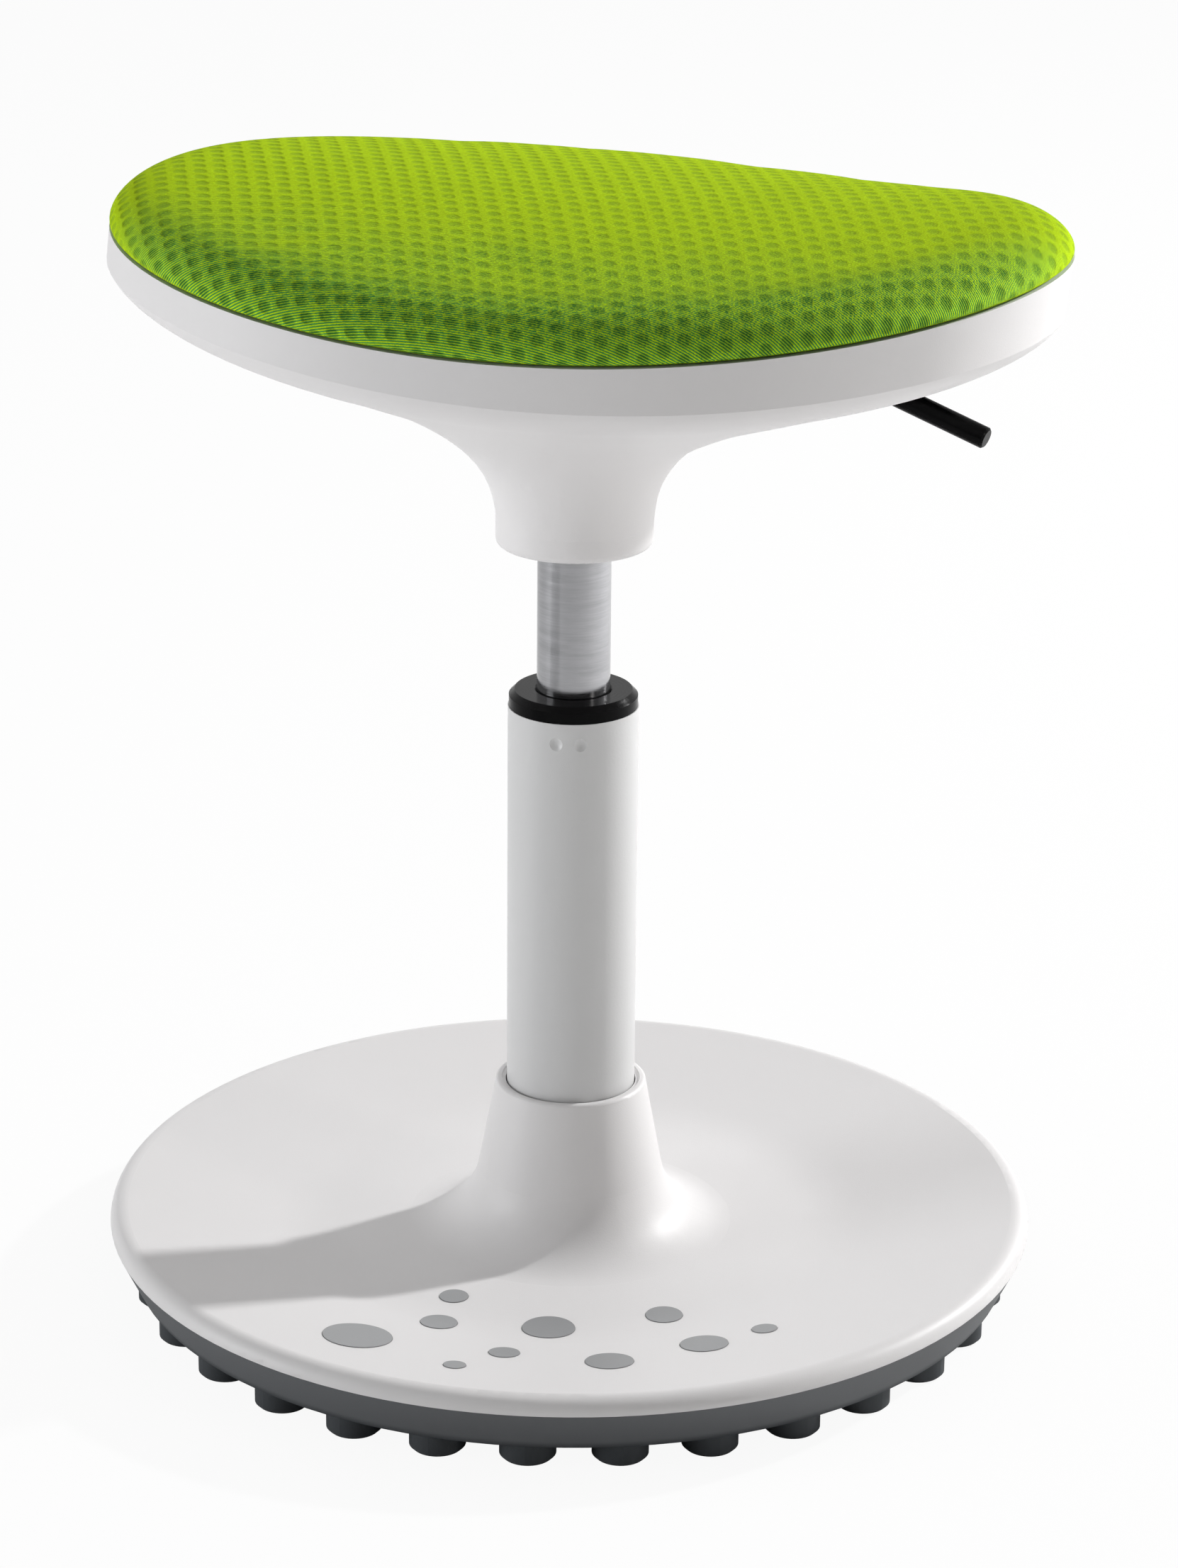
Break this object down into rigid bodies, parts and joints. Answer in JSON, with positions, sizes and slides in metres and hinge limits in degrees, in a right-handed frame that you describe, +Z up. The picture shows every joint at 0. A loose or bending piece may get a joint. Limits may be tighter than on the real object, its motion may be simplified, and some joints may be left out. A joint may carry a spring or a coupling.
{
  "type": "active sitting stool",
  "caption": "Height-adjustable active stool: saddle-shaped cushioned seat on a gas lift column over a round dished base with rubber studs.",
  "frame": {"origin": "on the floor at the column's axis", "axes": "+Z up along the column, +X to the right as pictured, +Y away from the camera"},
  "size_m": [0.362, 0.3776, 0.4409],
  "materials": {
    "cover_white": "satin",
    "pad_grey": "matt",
    "sole_grey": "matt",
    "zinc_steel": "zinc plated",
    "cast_iron": "rough",
    "tube_white": "satin paint",
    "bush_black": "gloss",
    "bearing_steel": "ground",
    "cage_brass": "plain",
    "rod_chrome": "polished",
    "black_rubber": "matt",
    "piston_alloy": "turned",
    "brushed_steel": "finely brushed",
    "black_steel": "gloss paint",
    "insert_brass": "plain",
    "pan_black": "moulded",
    "seat_fabric": "knitted"
  },
  "bodies": {
    "base": {"base_cover": "cover_white", "grip_pads": "pad_grey", "base_sole": "sole_grey", "cover_screws": "zinc_steel", "ballast_plate": "cast_iron", "column_socket": "zinc_steel", "flange_screws": "zinc_steel", "stand_tube": "tube_white", "guide_bush": "bush_black", "lower_race": "bearing_steel"},
    "bearing": {"ball_cage": "cage_brass", "bearing_balls": "bearing_steel"},
    "swivel": {"piston_rod": "rod_chrome", "rod_clip": "zinc_steel", "clip_washer": "zinc_steel", "upper_race": "bearing_steel", "bumper": "black_rubber", "piston": "piston_alloy", "piston_ring": "black_rubber"},
    "seat": {"pressure_tube": "brushed_steel", "inner_cylinder": "bearing_steel", "rod_guide": "piston_alloy", "rod_seal": "black_rubber", "valve_block": "piston_alloy", "valve_spring": "bearing_steel", "taper_socket": "zinc_steel", "seat_bracket": "black_steel", "lever_pin": "zinc_steel", "bracket_bolts": "zinc_steel", "pan_inserts": "insert_brass", "seat_pan": "pan_black", "shell_screws": "zinc_steel", "seat_shell": "cover_white", "seat_cushion": "seat_fabric"},
    "lever": {"release_lever": "black_steel"},
    "button": {"release_button": "brushed_steel"}
  },
  "joints": [
    {"name": "column_turn", "type": "hinge", "parent": "base", "child": "swivel", "pos_m": [0, 0, 0], "axis": [0, 0, 1], "continuous": true},
    {"name": "cage_roll", "type": "hinge", "parent": "base", "child": "bearing", "pos_m": [0, 0, 0], "axis": [0, 0, 1], "continuous": true},
    {"name": "seat_height", "type": "slide", "parent": "swivel", "child": "seat", "axis": [0, 0, 1], "range_m": [-0.05, 0.07]},
    {"name": "lever_lift", "type": "hinge", "parent": "seat", "child": "lever", "pos_m": [0.03973, -0.02113, 0.383], "axis": [-0.4695, -0.8829, 0], "range_deg": [0, 3.8], "stiffness_Nm_per_rad": 0.5, "springref_deg": -5.73},
    {"name": "button_press", "type": "slide", "parent": "seat", "child": "button", "axis": [0, 0, -1], "range_m": [0, 0.003], "deforming": ["valve_spring"]}
  ],
  "couplings": [
    {"joint": "cage_roll", "follows": "column_turn", "ratio": 0.5},
    {"joint": "button_press", "follows": "lever_lift", "m_per_rad": 0.045}
  ]
}
